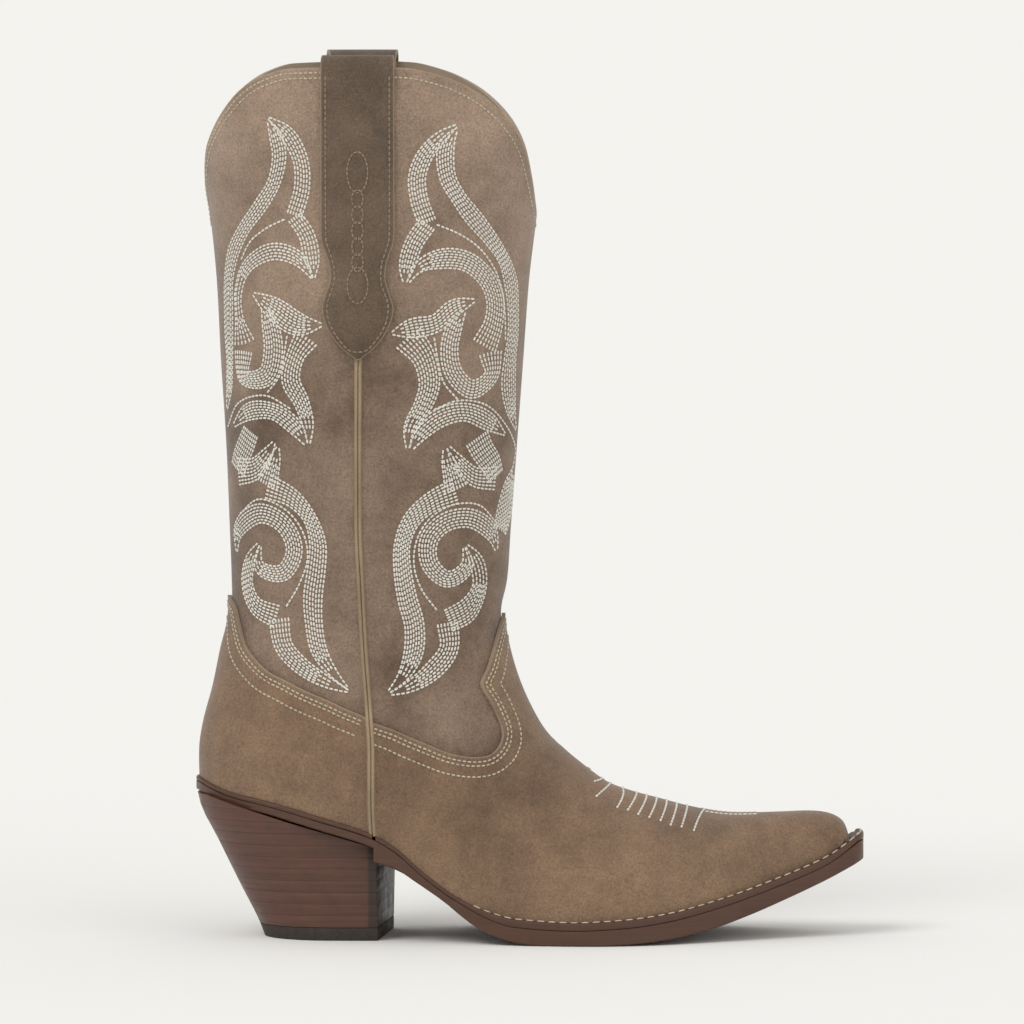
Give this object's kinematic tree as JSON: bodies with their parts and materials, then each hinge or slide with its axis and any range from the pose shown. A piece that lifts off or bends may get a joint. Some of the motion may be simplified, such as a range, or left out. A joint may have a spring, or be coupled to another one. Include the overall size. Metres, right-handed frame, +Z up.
{
  "type": "cowboy boot",
  "caption": "Right pull-on cowboy boot in mottled tan suede with flame embroidery, pull straps, a snip toe, a welted leather sole and an underslung stacked heel",
  "frame": {"origin": "bottom centre of the bounding box, on the floor under the boot", "axes": "+X towards the toe, +Y towards the inner (medial) side of the foot, +Z up the shaft"},
  "size_m": [0.2817, 0.1038, 0.3713],
  "materials": {
    "suede": "brushed suede, mottled tan-grey",
    "seam_leather": "smooth light tan",
    "lining_leather": "smooth undyed",
    "board": "pressed fibre board",
    "sole_leather": "burnished edge",
    "heel_leather": "burnished stacked edge",
    "rubber": "dark matt",
    "cork": "granular",
    "steel": "plain",
    "wood": "split, unfinished"
  },
  "bodies": {
    "root": {"front_shaft_panel": "suede", "back_shaft_panel": "suede", "vamp": "suede", "counter_cover": "suede", "shaft_lining_front": "lining_leather", "shaft_lining_back": "lining_leather", "vamp_lining": "lining_leather", "heel_lining": "lining_leather", "heel_stiffener": "board", "toe_puff": "board", "side_welt_lateral": "seam_leather", "side_welt_medial": "seam_leather", "pull_strap_lateral": "suede", "pull_strap_medial": "suede", "welt": "sole_leather", "heel_rand": "sole_leather", "outsole": "sole_leather", "insole_board": "board", "sock_liner": "lining_leather", "cork_filler": "cork", "steel_shank": "steel", "heel_cap": "rubber", "heel_lift_1": "heel_leather", "heel_lift_2": "heel_leather", "heel_lift_3": "heel_leather", "heel_lift_4": "heel_leather", "heel_lift_5": "heel_leather", "heel_lift_6": "heel_leather", "heel_lift_7": "heel_leather", "heel_lift_8": "heel_leather", "heel_lift_9": "heel_leather", "heel_lift_10": "heel_leather", "heel_lift_11": "heel_leather", "heel_nail_1": "steel", "heel_nail_2": "steel", "heel_nail_3": "steel", "heel_nail_4": "steel", "heel_nail_5": "steel", "heel_screw": "steel", "shank_peg_1": "wood", "shank_peg_2": "wood", "shank_peg_3": "wood", "shank_peg_4": "wood", "shank_peg_5": "wood", "shank_peg_6": "wood"}
  },
  "joints": []
}
